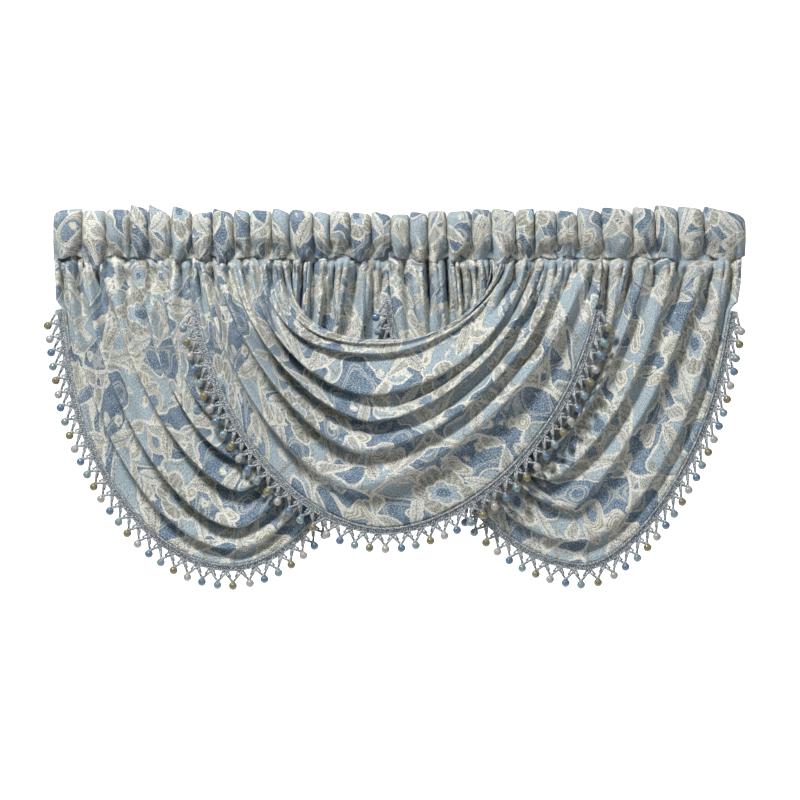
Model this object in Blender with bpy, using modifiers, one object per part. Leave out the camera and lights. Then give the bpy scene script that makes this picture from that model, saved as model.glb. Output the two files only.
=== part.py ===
# Waterfall valance: three gathered swags on one curtain rod, each with two rod pockets
# and a bead fringe along its curved hem. Metres, +Z up, seen from -Y.
# The origin is at the middle of the top edge, over the rod.

import math
from collections import namedtuple

import bmesh
import bpy
from mathutils import Vector

MM = 0.001

# Driving dimensions, in millimetres
SEAM_Z = -106.0            # stitching under the rod pockets
CLOTH_THICKNESS = 2.0
SEAM_GAP = 0.7             # from the stitching down to the swag's edge
POCKET_GAP = 1.2           # between two pockets side by side
TUNNEL_HALF_DEPTH = 16.0   # where a pocket is pinched between two flutes
FRONT_SWELL = 17.0
BACK_SWELL = 9.0
SEAM_FRONT = 11.0          # front of a pocket's bottom edge, before the rod's centre
SEAM_BACK = 3.0
SETTLE_DROP = 150.0        # below the seam, where a swag has come fully forward
TRIM_WIDTH = 16.0
TRIM_THICKNESS = 3.0
TRIM_GAP = 1.5             # between hem and braid, narrower where the hem turns a corner
BEAD_PITCH = 27.6
BEAD_RADIUS = 8.3
BEAD_REACH = 28.0          # from the braid's outer edge to a bead's centre
DROP_ROOT = 0.5            # share of the pitch that a drop's threads take at the braid
THREAD_RADIUS = 1.6
BEAD_END_RADIUS = 3.0
SPREAD = 0.58              # 1 would send a drop straight out from the hem, 0 straight down

# One row for each fold, from the scoop down to the hem. A fold leaves the seam at left,
# is lowest at low, and meets the seam again at right. The two round values shape its
# sides: 2 is an ellipse, less is nearer a V and more is nearer a box. It stands forward of
# the rod, and the cloth under it is tucked back.
Fold = namedtuple("Fold", "left low drop right left_round right_round forward tuck")

CENTRE_FOLDS = [
    Fold(-221.5, -14, -262, 187.5, 2.6, 2.1, 54, 6),
    Fold(-246, -26, -275, 208, 2.7, 1.8, 60, 8),
    Fold(-270, -42, -294, 226, 2.5, 1.7, 66, 21),
    Fold(-300, -54, -376, 252, 1.8, 1.8, 84, 37),
    Fold(-334, -48, -428, 286, 1.65, 1.6, 90, 40),
    Fold(-366, -74, -488, 322, 1.5, 1.65, 90, 40),
    Fold(-394, -82, -560, 374, 1.6, 1.55, 82, 25),
    Fold(-415, -28, -640, 408, 1.85, 1.8, 52, 0),
]
LEFT_FOLDS = [
    Fold(-412, -274, -366, -219, 2.3, 2.0, 15, 7),
    Fold(-468, -286, -446, -204, 2.4, 2.0, 26, 18),
    Fold(-516, -300, -510, -180, 1.8, 1.9, 32, 25),
    Fold(-588, -322, -566, -150, 1.55, 1.8, 35, 29),
    Fold(-632, -330, -640, -110, 1.65, 1.8, 35, 28),
    Fold(-666, -336, -684, -62, 1.8, 1.9, 28, 15),
    Fold(-688, -338, -716, -17.4, 1.9, 1.9, 13, 0),
]
RIGHT_FOLDS = [
    Fold(184.5, 286, -392, 405, 1.9, 1.9, 15, 7),
    Fold(168, 292, -440, 446, 1.9, 1.7, 26, 18),
    Fold(140, 280, -494, 492, 1.9, 1.45, 32, 25),
    Fold(110, 296, -544, 546, 1.9, 1.5, 35, 29),
    Fold(76, 346, -600, 612, 1.9, 1.3, 34, 27),
    Fold(38, 370, -668, 654, 2.1, 1.6, 28, 15),
    Fold(-14.4, 374, -714, 686, 1.9, 1.75, 13, 0),
]

# A swag: its folds, its columns across, how far its gathers stand in front of the rod's
# centre, and how far its hidden half's hem is moved forward so that the two inner fringes
# pass each other. The half is -1 at left and 1 at right.
Swag = namedtuple("Swag", "name folds columns seam_forward moved_half moved_by")

SWAGS = [
    Swag("swag_left", LEFT_FOLDS, 24, 3.5, 1, -5.0),
    Swag("swag_right", RIGHT_FOLDS, 24, 3.5, -1, 15.0),
    Swag("swag_centre", CENTRE_FOLDS, 28, 10.0, 0, 0.0),
]
SEAM_TUCK = 0.25           # share of a fold's tuck that the gathers have at the seam
CREASE = 0.26              # where the crease lies, as a share of the way to the next crest
UNDERCUT = 0.07            # how much closer under the crest the crease is drawn
FACE = 0.62                # one more row of cloth between crease and crest
BELLY = 1.2                # how hollow the cloth is between crease and next crest
CLOSER_LOW = 1.3           # draws the columns together near a fold's lowest place
HEM_STEPS = 30
MOVE_STARTS = 70.0
MOVE_HOLDS = 240.0
MOVE_ENDS = 380.0

# A fringe runs along a swag's hem between these two drops below the seam.
Fringe = namedtuple("Fringe", "name swag left_start right_start")

FRINGES = [
    Fringe("fringe_left", "swag_left", 92.0, 74.0),
    Fringe("fringe_right", "swag_right", 74.0, 98.0),
    Fringe("fringe_centre", "swag_centre", 98.0, 98.0),
]

# A rod pocket's flutes from left to right: width, height of the top edge, and how much
# higher the top edge is at the flute's right side than at its left.
Flute = namedtuple("Flute", "width top rise")
Pocket = namedtuple("Pocket", "name start flutes")

POCKETS = [
    Pocket("pocket_left_outer", -694.0, [
        Flute(58, -6, -3), Flute(48, -8, 2), Flute(48, -6, 0),
        Flute(36, 3, -4), Flute(46, 4, 3), Flute(42, 0, -6)]),
    Pocket("pocket_centre_left", -416.0, [
        Flute(42, -12, 4), Flute(42, -4, -2), Flute(32, -6, 0),
        Flute(44, -8, 0), Flute(36, -4, -4)]),
    Pocket("pocket_left_inner", -220.0, [
        Flute(48, -9, -6), Flute(32, -11, 2), Flute(42, -10, 0),
        Flute(42, -13, 2), Flute(40, -12, -5)]),
    Pocket("pocket_right_inner", -16.0, [
        Flute(38, -15, 0), Flute(36, -12, 0), Flute(38, -8, 2),
        Flute(50, -10, 0), Flute(40, -6, -3)]),
    Pocket("pocket_centre_right", 186.0, [
        Flute(48, -6, -4), Flute(38, -4, 2), Flute(44, -8, 0),
        Flute(42, -8, 3), Flute(50, -4, -4)]),
    Pocket("pocket_right_outer", 408.0, [
        Flute(62, -4, 3), Flute(44, -2, 2), Flute(46, 3, -2),
        Flute(52, 0, 0), Flute(84, -6, -12)]),
]
FLUTE_STEPS = 4
FLUTE_FULLNESS = 0.7       # 1 would be a sine, less is flatter in front and steeper at the sides
TOP_DIP = 11.0             # how far the top edge drops between two flutes
SEAM_SWELL = 0.2           # share of the bottom edge's depth that the flutes change

# The section round a pocket, from its top edge down the front and up the back: the depth
# as a share of the full depth of that side, and the height between seam, 0, and top, 1.
Ring = namedtuple("Ring", "depth height")
FRONT_RINGS = [Ring(0.80, 0.88), Ring(1.00, 0.55), Ring(0.86, 0.17)]
BACK_RINGS = [Ring(0.95, 0.22), Ring(0.90, 0.85)]

CLOTH_COLOUR = (0.28, 0.37, 0.44, 1.0)
TRIM_COLOUR = (0.32, 0.37, 0.40, 1.0)


def clear_scene():
    for item in list(bpy.data.objects):
        bpy.data.objects.remove(item, do_unlink=True)


def make_collection(name):
    group = bpy.data.collections.new(name)
    bpy.context.scene.collection.children.link(group)
    return group


def make_material(name, colour, roughness):
    material = bpy.data.materials.new(name)
    material.use_nodes = True
    shader = material.node_tree.nodes["Principled BSDF"]
    shader.inputs["Base Color"].default_value = colour
    shader.inputs["Roughness"].default_value = roughness
    shader.inputs["Metallic"].default_value = 0.0
    return material


def smooth(value):
    value = min(max(value, 0.0), 1.0)
    return value * value * (3.0 - 2.0 * value)


def mix(a, b, share):
    return a + (b - a) * share


def skin_mesh(name, rows, closed=False):
    """A sheet over rows of points, each row running left to right, listed downwards."""
    bm = bmesh.new()
    grid = [[bm.verts.new(point) for point in row] for row in rows]
    if closed:
        grid.append(grid[0])
    for upper, lower in zip(grid, grid[1:]):
        for i in range(len(upper) - 1):
            bm.faces.new((upper[i], lower[i], lower[i + 1], upper[i + 1]))
    mesh = bpy.data.meshes.new(name)
    bm.to_mesh(mesh)
    bm.free()
    mesh.shade_smooth()
    return mesh


def add_part(group, name, mesh, material):
    part = bpy.data.objects.new(name, mesh)
    mesh.materials.append(material)
    group.objects.link(part)
    return part


def add_thickness(part, offset):
    shell = part.modifiers.new("Cloth thickness", "SOLIDIFY")
    shell.thickness = CLOTH_THICKNESS * MM
    shell.offset = offset


def fold_turns(columns):
    """Turns from -1 at the left seam, over 0 at the lowest place, to 1 at the right seam."""
    half = columns // 2
    steps = [(i / half) ** CLOSER_LOW for i in range(half + 1)]
    left = [step - 1.0 for step in steps]
    return left + [-turn for turn in reversed(left[:-1])]


def fold_place(fold, turn):
    """X and Z of a fold's line, a part of a rounded box drawn between seam and low point."""
    end = fold.left if turn < 0 else fold.right
    roundness = fold.left_round if turn < 0 else fold.right_round
    angle = (1.0 - abs(turn)) * math.pi / 2
    top = SEAM_Z - SEAM_GAP
    x = mix(fold.low, end, math.cos(angle) ** (2 / roundness))
    z = mix(top, fold.drop, math.sin(angle) ** (2 / roundness))
    return x, z


def moved_forward(swag, turn, drop, level):
    if turn * swag.moved_half <= 0:
        return 0.0
    rise = smooth(drop / MOVE_STARTS)
    fall = 1.0 - smooth((drop - MOVE_HOLDS) / (MOVE_ENDS - MOVE_HOLDS))
    return swag.moved_by * rise * fall * (level / (len(swag.folds) - 1)) ** 2


def cloth_point(swag, turn, level):
    """A place on a swag. Level counts folds from the scoop, 0, down to the hem."""
    index = min(int(level), len(swag.folds) - 2)
    share = level - index
    upper = swag.folds[index]
    lower = swag.folds[index + 1]
    upper_x, upper_z = fold_place(upper, turn)
    lower_x, lower_z = fold_place(lower, turn)
    in_plane = share - UNDERCUT * math.sin(2 * math.pi * share)
    x = mix(upper_x, lower_x, in_plane)
    z = mix(upper_z, lower_z, in_plane)
    drop = SEAM_Z - z
    settled = smooth(drop / SETTLE_DROP)
    crest = mix(upper.forward, lower.forward, share)
    tuck = upper.tuck * tuck_shape(share) * mix(SEAM_TUCK, 1.0, settled)
    forward = mix(swag.seam_forward, crest, settled) - tuck
    forward += moved_forward(swag, turn, drop, level)
    return Vector((x, -forward, z)) * MM


def tuck_shape(share):
    """0 on a fold's crest, 1 in the crease close under it, falling off to the next crest."""
    if share < CREASE:
        return smooth(share / CREASE)
    return ((1.0 - share) / (1.0 - CREASE)) ** BELLY


def swag_levels(swag):
    levels = []
    for index in range(len(swag.folds) - 1):
        levels += [index, index + CREASE, index + FACE]
    return levels + [len(swag.folds) - 1]


def make_swag(group, swag, material):
    turns = fold_turns(swag.columns)
    rows = [[cloth_point(swag, turn, level) for turn in turns] for level in swag_levels(swag)]
    part = add_part(group, swag.name, skin_mesh(swag.name, rows), material)
    add_thickness(part, 0.0)


def pocket_section(swell, top):
    """Y and Z round a rod pocket, from its top edge down the front and up the back."""
    front = -(TUNNEL_HALF_DEPTH + FRONT_SWELL * swell)
    back = TUNNEL_HALF_DEPTH + BACK_SWELL * swell
    bottom = -SEAM_FRONT * mix(1.0 - SEAM_SWELL, 1.0, swell)
    down = [(ring.depth * front, mix(SEAM_Z, top, ring.height)) for ring in FRONT_RINGS]
    up = [(ring.depth * back, mix(SEAM_Z, top, ring.height)) for ring in BACK_RINGS]
    return [(0.0, top)] + down + [(bottom, SEAM_Z), (SEAM_BACK, SEAM_Z)] + up


def make_pocket(group, pocket, material):
    stations = []
    x = pocket.start + POCKET_GAP / 2
    width_left = sum(flute.width for flute in pocket.flutes)
    fit = (width_left - POCKET_GAP) / width_left
    for flute in pocket.flutes:
        for step in range(FLUTE_STEPS):
            share = step / FLUTE_STEPS
            stations.append((x + flute.width * fit * share, share, flute))
        x += flute.width * fit
    stations.append((x, 1.0, pocket.flutes[-1]))
    sections = []
    for place, share, flute in stations:
        swell = max(math.sin(math.pi * share), 0.0) ** FLUTE_FULLNESS
        top = flute.top - TOP_DIP * (1.0 - swell) + flute.rise * (share - 0.5)
        sections.append([Vector((place, y, z)) * MM for y, z in pocket_section(swell, top)])
    rows = [list(row) for row in zip(*sections)]
    part = add_part(group, pocket.name, skin_mesh(pocket.name, rows, closed=True), material)
    add_thickness(part, -1.0)


def hem_line(swag, left_start, right_start):
    """Places along a swag's faceted hem, close together, between two drops below the seam."""
    hem = len(swag.folds) - 1
    corners = [cloth_point(swag, turn, hem) for turn in fold_turns(swag.columns)]
    lowest = swag.columns // 2
    places = []
    for index, (a, b) in enumerate(zip(corners, corners[1:])):
        start = left_start if index < lowest else right_start
        for step in range(HEM_STEPS):
            place = a.lerp(b, step / HEM_STEPS)
            if SEAM_Z - place.z / MM >= start:
                places.append(place)
    return places


def even_places(places, step):
    """Places at even steps along a line, an odd number of them, with both ends used."""
    lengths = [0.0]
    for a, b in zip(places, places[1:]):
        lengths.append(lengths[-1] + (b - a).length)
    count = 2 * round(lengths[-1] / (2 * step)) + 1
    result = []
    at = 0
    for i in range(count + 1):
        goal = lengths[-1] * i / count
        while at < len(lengths) - 2 and lengths[at + 1] < goal:
            at += 1
        share = (goal - lengths[at]) / (lengths[at + 1] - lengths[at])
        result.append(places[at].lerp(places[at + 1], share))
    return result


def outward(places, index):
    """The way out from the hem, in the plane of the swag."""
    before = places[max(index - 1, 0)]
    after = places[min(index + 1, len(places) - 1)]
    along = after - before
    return Vector((along.z, 0.0, -along.x)).normalized()


def join_rings(bm, ring, next_ring):
    for i in range(len(ring)):
        after = (i + 1) % len(ring)
        bm.faces.new((ring[i], ring[after], next_ring[after], next_ring[i]))


def shape_drop(bm, root):
    """Crossed threads that narrow to a point, and the bead under them, from 4 root corners."""
    centre = sum((vert.co for vert in root), Vector()) / 4
    along = (root[1].co - root[0].co).normalized()
    way_out = Vector((along.z, 0.0, -along.x))
    hang = (way_out * SPREAD + Vector((0.0, 0.0, SPREAD - 1.0))).normalized()
    across = Vector((-hang.z, 0.0, hang.x))
    rings = [
        (BEAD_REACH - BEAD_RADIUS, THREAD_RADIUS),
        (BEAD_REACH, BEAD_RADIUS),
        (BEAD_REACH + BEAD_RADIUS, BEAD_END_RADIUS),
    ]
    ring = root
    for reach, radius in rings:
        middle = centre + hang * reach * MM
        side = across * radius * MM
        depth = Vector((0.0, radius * MM, 0.0))
        corners = (-side - depth, side - depth, side + depth, depth - side)
        next_ring = [bm.verts.new(middle + corner) for corner in corners]
        join_rings(bm, ring, next_ring)
        ring = next_ring
    bm.faces.new(ring)


def make_fringe(group, fringe, swag, material):
    line = hem_line(swag, fringe.left_start, fringe.right_start)
    places = even_places(line, BEAD_PITCH * DROP_ROOT * MM)
    half = Vector((0.0, TRIM_THICKNESS / 2 * MM, 0.0))
    bm = bmesh.new()
    stations = []
    for index, place in enumerate(places):
        way_out = outward(places, index)
        inner = place + way_out * TRIM_GAP * MM
        outer = inner + way_out * TRIM_WIDTH * MM
        corners = (inner - half, outer - half, outer + half, inner + half)
        stations.append([bm.verts.new(corner) for corner in corners])
    bm.faces.new(stations[0])
    bm.faces.new(reversed(stations[-1]))
    for index, (a, b) in enumerate(zip(stations, stations[1:])):
        for side in range(4):
            after = (side + 1) % 4
            corners = (a[side], b[side], b[after], a[after])
            if side == 1 and index % 2 == 0:
                shape_drop(bm, corners)
            else:
                bm.faces.new(corners)
    bmesh.ops.recalc_face_normals(bm, faces=bm.faces)
    mesh = bpy.data.meshes.new(fringe.name)
    bm.to_mesh(mesh)
    bm.free()
    add_part(group, fringe.name, mesh, material)


def main():
    clear_scene()
    group = make_collection("waterfall_valance")
    cloth = make_material("jacquard_cloth", CLOTH_COLOUR, 0.85)
    trim = make_material("bead_trim", TRIM_COLOUR, 0.6)
    for pocket in POCKETS:
        make_pocket(group, pocket, cloth)
    for swag in SWAGS:
        make_swag(group, swag, cloth)
    by_name = {swag.name: swag for swag in SWAGS}
    for fringe in FRINGES:
        make_fringe(group, fringe, by_name[fringe.swag], trim)


main()
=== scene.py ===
# The looks of a waterfall valance: jacquard cloth in gathered pockets and draped swags,
# gimp braid, crossed threads and wound beads, with a pale floor, soft light and a camera.
import math
from collections import namedtuple

import bmesh
import bpy
from mathutils import Matrix, Vector, noise


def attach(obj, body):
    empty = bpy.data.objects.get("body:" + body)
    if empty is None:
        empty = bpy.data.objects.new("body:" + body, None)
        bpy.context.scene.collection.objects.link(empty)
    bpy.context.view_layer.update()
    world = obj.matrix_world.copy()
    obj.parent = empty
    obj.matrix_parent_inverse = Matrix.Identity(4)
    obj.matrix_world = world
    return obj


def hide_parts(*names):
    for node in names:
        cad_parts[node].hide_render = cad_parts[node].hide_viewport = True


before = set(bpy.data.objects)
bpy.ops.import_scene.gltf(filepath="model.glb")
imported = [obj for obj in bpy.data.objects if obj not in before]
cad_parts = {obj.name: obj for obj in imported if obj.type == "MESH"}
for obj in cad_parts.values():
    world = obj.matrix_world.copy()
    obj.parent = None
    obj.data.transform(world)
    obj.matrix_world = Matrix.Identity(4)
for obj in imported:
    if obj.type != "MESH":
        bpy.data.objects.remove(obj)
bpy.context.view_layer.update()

MM = 0.001

# Cloth on the rod, in millimetres
SEAM_Z = -106.0
SEAM_LAP = 18.0            # how far a swag's cloth reaches up into the pockets
CLOTH_THICKNESS = 1.4
POCKET_LAP = 1.5           # how far two pockets overlap in the dark between them
PINCH_DEPTH = 11.5         # half depth of a pocket in the crease between two flutes
FRONT_SWELL = 21.5
BACK_SWELL = 12.0
TOP_DIP = 13.0
TOP_RISE = 4.0
STEEP_SIDES = 0.07         # draws a flute's sides towards the creases beside it
SEAM_FRONT = 5.0
SEAM_BACK = 3.0
SETTLE_DROP = 150.0
SEAM_TUCK = 0.35
CREASE = 0.2               # where the crease lies, as a share of the way to the next crest
UNDERCUT = 0.135           # how far a crest hangs over the crease under it
TUCK_DROP = 40.0           # below the seam, where the folds are fully tucked
BACK_FREE = 10.0           # how far back the cloth hangs before it presses together
BACK_PRESS = 12.0
SEAM_FULLNESS = 18.0       # how far the gathered cloth swells out just below the seam
TUBE_DEPTH = 38.0          # of the creases between the folds where they leave the seam
TUBE_REACH = 130.0         # how far down a fold is still a round tube
ROLL_BACK = 13.0           # how far the scoop's upper edge rolls back and down
ROLL_DOWN = 9.0
FLUTTER = 2.2              # the small unevenness of hanging cloth
WANDER = 0.16              # how far a fold strays up or down, as a share of its spacing
CRUMPLE_DEPTH = 6.0        # of the puckers that a seam draws into cloth
FLUTE_GAP_DEPTH = 25.0     # of the gaps that run on from between the flutes
LONG_GATHERS = (20.0, 28.0)    # depth in front, and where a side swag rises behind
SHORT_GATHERS = (17.0, 26.0)

# Lower edge of the rod pockets, in millimetres
EDGE_RISE = 5.0
EDGE_WAVE = 17.0
LOOP_SAG = 20.0            # how far a flute loops out over the seam
LOOP_SPREAD = 14.0
GROOVES = (3.4, 12.0)      # depth of the crease down a flute, at its top and at its foot

# How finely the cloth is modelled
SIDE_COLUMNS = 190
SIDE_ROWS_PER_FOLD = 16
CENTRE_COLUMNS = 230
CENTRE_ROWS_PER_FOLD = 17
STEPS_PER_FLUTE = 20
STEPS_ROUND_POCKET = 60
STEPS_ALONG_HEM = 600

# Fullness of a rod pocket: how much wider its cloth is than its place on the rod, for the
# pattern and for the sheet's flat size, and the cloth round it in pocket heights
PATTERN_FULLNESS = 1.7
ROUND_SHARE = 2.2

# Trim, in millimetres
TRIM_GAP = 0.6
TRIM_WIDTH = 13.5
BEAD_PITCH = 27.6
BEAD_RADIUS = 8.3
BEAD_REACH = 29.0
THREAD_RADIUS = 2.5
PLACES_PER_BEAD = 6        # places on a fringe's line for each bead
FOOT_PLACES = 4            # from a bead to the foot of its long threads, in those places
BRACE_PLACES = 2
BRACE_DROP = 12.0          # where a short thread meets the long ones
BRACE_ASIDE = 4.0

# Cords along the braid: label, how far out they lie, and radius
CORDS = [("inner", TRIM_GAP + 1.6, 2.3), ("outer", TRIM_GAP + TRIM_WIDTH - 1.4, 1.5)]

# Repeat of the jacquard, in millimetres
REPEAT_WIDTH = 300.0
REPEAT_HEIGHT = 360.0
DRIFT = 40.0               # how far the pattern is drawn out of true
RAGGED = 5.0               # how ragged the yarns make its edges

# One row for each fold, from the scoop down to the hem: where it leaves the left seam,
# its lowest place, where it meets the right seam, how boxy its two sides are, how far it
# stands forward, how deep the cloth is tucked under it, and how much of that tuck is
# left on its right side.
Fold = namedtuple("Fold", "left low drop right left_round right_round forward tuck right_share")

CENTRE_FOLDS = [
    Fold(-221.5, -14, -262, 187.5, 2.6, 2.1, 54, 1, 0.4),
    Fold(-246, -26, -275, 208, 2.7, 1.8, 60, 7, 0.3),
    Fold(-270, -42, -294, 226, 2.5, 1.7, 66, 19, 0.55),
    Fold(-300, -54, -376, 252, 1.8, 1.8, 84, 35, 0.65),
    Fold(-334, -48, -428, 286, 1.65, 1.6, 90, 38, 0.65),
    Fold(-366, -74, -488, 322, 1.5, 1.65, 90, 37, 0.6),
    Fold(-394, -82, -560, 374, 1.6, 1.55, 82, 23, 0.7),
    Fold(-415, -28, -640, 408, 1.85, 1.8, 52, 0, 1.0),
]
LEFT_FOLDS = [
    Fold(-412, -274, -366, -227, 2.3, 2.0, 15, 7, 1.0),
    Fold(-468, -286, -446, -204, 2.4, 2.0, 26, 18, 1.0),
    Fold(-516, -300, -510, -180, 1.8, 1.9, 32, 25, 1.0),
    Fold(-588, -322, -566, -150, 1.55, 1.8, 35, 29, 1.0),
    Fold(-632, -330, -640, -110, 1.65, 1.8, 35, 28, 1.0),
    Fold(-666, -336, -684, -62, 1.8, 1.9, 28, 15, 1.0),
    Fold(-692, -338, -716, -5, 1.95, 1.9, 13, 0, 1.0),
]
RIGHT_FOLDS = [
    Fold(193, 286, -392, 402, 1.9, 1.9, 15, 7, 1.0),
    Fold(168, 292, -440, 446, 1.9, 1.7, 26, 18, 1.0),
    Fold(140, 280, -494, 492, 1.9, 1.45, 32, 25, 0.8),
    Fold(110, 296, -544, 546, 1.9, 1.5, 35, 29, 0.75),
    Fold(76, 346, -600, 612, 1.9, 1.3, 34, 27, 0.75),
    Fold(38, 370, -668, 654, 2.1, 1.6, 28, 15, 1.0),
    Fold(-21, 374, -714, 690, 1.9, 1.62, 13, 0, 1.0),
]

# A soft crease laid on a swag, between two places given by turn and fold level.
Crease = namedtuple("Crease", "turn_a level_a turn_b level_b depth width")

CENTRE_CREASES = [
    Crease(-0.62, 2.6, -0.30, 3.1, 4.0, 0.10),
    Crease(-0.45, 3.5, -0.05, 3.75, 5.0, 0.09),
    Crease(0.12, 3.55, 0.55, 3.4, 5.0, 0.10),
    Crease(-0.70, 4.5, -0.35, 4.35, 4.0, 0.10),
    Crease(0.20, 4.6, 0.62, 4.5, 6.0, 0.10),
    Crease(-0.30, 5.45, 0.10, 5.6, 4.0, 0.12),
    Crease(0.30, 5.6, 0.70, 5.35, 5.0, 0.10),
    Crease(-0.75, 5.6, -0.45, 5.7, 4.0, 0.10),
    Crease(0.45, 6.5, 0.80, 6.35, 4.0, 0.12),
]
LEFT_CREASES = [
    Crease(-0.55, 1.6, -0.15, 1.5, 4.0, 0.12),
    Crease(-0.70, 3.5, -0.30, 3.6, 5.0, 0.12),
    Crease(-0.10, 3.7, 0.25, 3.3, 4.0, 0.12),
    Crease(-0.65, 4.6, -0.25, 4.45, 5.0, 0.12),
    Crease(0.05, 5.7, 0.40, 4.7, 6.0, 0.16),
    Crease(0.20, 5.9, 0.48, 5.2, 5.0, 0.14),
    Crease(-0.45, 5.5, -0.10, 5.6, 3.0, 0.12),
]
RIGHT_CREASES = [
    Crease(0.15, 1.6, 0.60, 1.5, 4.0, 0.12),
    Crease(-0.30, 3.4, 0.10, 3.7, 5.0, 0.12),
    Crease(0.30, 3.5, 0.70, 3.6, 5.0, 0.12),
    Crease(0.15, 4.55, 0.60, 4.5, 5.0, 0.12),
    Crease(-0.35, 4.6, -0.05, 4.8, 5.0, 0.14),
    Crease(-0.40, 5.5, 0.00, 5.7, 6.0, 0.16),
    Crease(0.30, 5.5, 0.75, 5.55, 3.0, 0.12),
]

Swag = namedtuple("Swag", "name folds creases seam_forward moved_half moved_by set_in seed")

SWAGS = {
    "swag_left": Swag("swag_left", LEFT_FOLDS, LEFT_CREASES, 2.5, 1, -5.0, (13, 0), 3.0),
    "swag_right": Swag("swag_right", RIGHT_FOLDS, RIGHT_CREASES, 6.0, -1, 15.0, (0, 13), 7.0),
    "swag_centre": Swag("swag_centre", CENTRE_FOLDS, CENTRE_CREASES, 11.0, 0, 0.0, (3, 3), 11.0),
}
SET_IN_DROP = 94.0
MOVE_STARTS = 70.0
MOVE_HOLDS = 240.0
MOVE_ENDS = 380.0

# A fringe follows a swag's hem between two drops below the seam. Its beads lean outwards
# by one share on the left half and another on the right, and start with one of four colours.
Fringe = namedtuple("Fringe", "side swag left_start right_start spreads first_colour")

FRINGES = [
    Fringe("left", "swag_left", 92.0, 74.0, (0.50, 0.5), 2),
    Fringe("right", "swag_right", 74.0, 98.0, (0.5, 0.34), 0),
    Fringe("centre", "swag_centre", 98.0, 98.0, (0.5, 0.5), 1),
]

# A flute of a rod pocket: width, height of its top, slope of its top, how far its top
# leans to the right, and where a soft crease runs down it.
Flute = namedtuple("Flute", "width top slope lean crease")
Pocket = namedtuple("Pocket", "name start flutes")

POCKETS = [
    Pocket("pocket_left_outer", -694.0, [
        Flute(58, -6, 6, 2, 0.7), Flute(48, -8, -1, 0, 0.35), Flute(48, -6, 0, -2, 0.6),
        Flute(36, 0, -9, -5, 0.5), Flute(46, -5, -20, -4, 0.3), Flute(42, -5, -13, 2, 0.65)]),
    Pocket("pocket_centre_left", -416.0, [
        Flute(42, -12, 4, 3, 0.3), Flute(42, -8, -10, -4, 0.6), Flute(32, -8, -6, 0, 0.5),
        Flute(44, -8, -2, 2, 0.7), Flute(36, -9, -13, 5, 0.4)]),
    Pocket("pocket_left_inner", -220.0, [
        Flute(48, -9, -7, 7, 0.35), Flute(32, -13, -7, 8, 0.5), Flute(42, -10, -3, 4, 0.6),
        Flute(42, -14, -4, 3, 0.3), Flute(40, -14, -10, 2, 0.7)]),
    Pocket("pocket_right_inner", -16.0, [
        Flute(38, -16, 0, 0, 0.6), Flute(36, -12, -3, -2, 0.35), Flute(38, -9, 1, -3, 0.6),
        Flute(50, -10, 3, -2, 0.4), Flute(40, -6, -3, 2, 0.6)]),
    Pocket("pocket_centre_right", 186.0, [
        Flute(48, -7, -7, 4, 0.6), Flute(38, -5, 3, 5, 0.4), Flute(44, -8, 0, 2, 0.3),
        Flute(42, -9, -5, -2, 0.6), Flute(50, -5, -9, -3, 0.4)]),
    Pocket("pocket_right_outer", 408.0, [
        Flute(62, -4, -6, -4, 0.3), Flute(44, -3, -5, 0, 0.6), Flute(46, 0, -8, 3, 0.5),
        Flute(52, -2, -6, 0, 0.3), Flute(84, -8, -17, -3, 0.65)]),
]


def smooth(value):
    value = min(max(value, 0.0), 1.0)
    return value * value * (3.0 - 2.0 * value)


def mix(a, b, share):
    return a + (b - a) * share


def srgb(red, green, blue):
    """A colour given as it looks on a screen, from 0 to 255, as linear light."""
    def linear(value):
        value /= 255.0
        return value / 12.92 if value <= 0.04045 else ((value + 0.055) / 1.055) ** 2.4
    return (linear(red), linear(green), linear(blue), 1.0)


# Shapes of the cloth

def fold_place(fold, turn):
    end = fold.left if turn < 0 else fold.right
    roundness = fold.left_round if turn < 0 else fold.right_round
    angle = (1.0 - abs(turn)) * math.pi / 2
    top = SEAM_Z + SEAM_LAP
    x = mix(fold.low, end, max(math.cos(angle), 0.0) ** (2 / roundness))
    z = mix(top, fold.drop, math.sin(angle) ** (2 / roundness))
    return x, z


def tuck_shape(share):
    """0 on a crest, 1 in the crease close under it, falling off to the next crest."""
    if share < CREASE:
        return math.sin(share / CREASE * math.pi / 2) ** 1.3
    return (0.5 + 0.5 * math.cos(math.pi * (share - CREASE) / (1.0 - CREASE))) ** 0.9


def tube_shape(share):
    """0 on a crest and 1 in a sharp crease half way to the next one."""
    return 1.0 - abs(math.cos(math.pi * share)) ** 0.7


def moved_forward(swag, turn, drop, level):
    if turn * swag.moved_half <= 0:
        return 0.0
    rise = smooth(drop / MOVE_STARTS)
    fall = 1.0 - smooth((drop - MOVE_HOLDS) / (MOVE_ENDS - MOVE_HOLDS))
    return swag.moved_by * rise * fall * (level / (len(swag.folds) - 1)) ** 2


def swag_drop(upper, lower, share, turn):
    return SEAM_Z - mix(fold_place(upper, turn)[1], fold_place(lower, turn)[1], share)


def set_in(swag, turn, drop, level):
    """How far a side of the cloth steps inwards where the trim starts on its hem."""
    near_hem = smooth((level - len(swag.folds) + 1.6) / 0.6)
    fades = smooth((drop - SET_IN_DROP + 9.0) / 12.0) * (1.0 - smooth((drop - SET_IN_DROP) / 260.0))
    return near_hem * fades * (swag.set_in[0] if turn < 0 else -swag.set_in[1])


def crease_depth(creases, turn, level):
    depth = 0.0
    for crease in creases:
        a = Vector((crease.turn_a * 6.0, crease.level_a))
        b = Vector((crease.turn_b * 6.0, crease.level_b))
        place = Vector((turn * 6.0, level))
        share = min(max((place - a).dot(b - a) / (b - a).length_squared, 0.0), 1.0)
        away = (place - a.lerp(b, share)).length / crease.width
        if away < 3.0:
            depth += crease.depth * math.exp(-away * away)
    return depth


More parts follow.
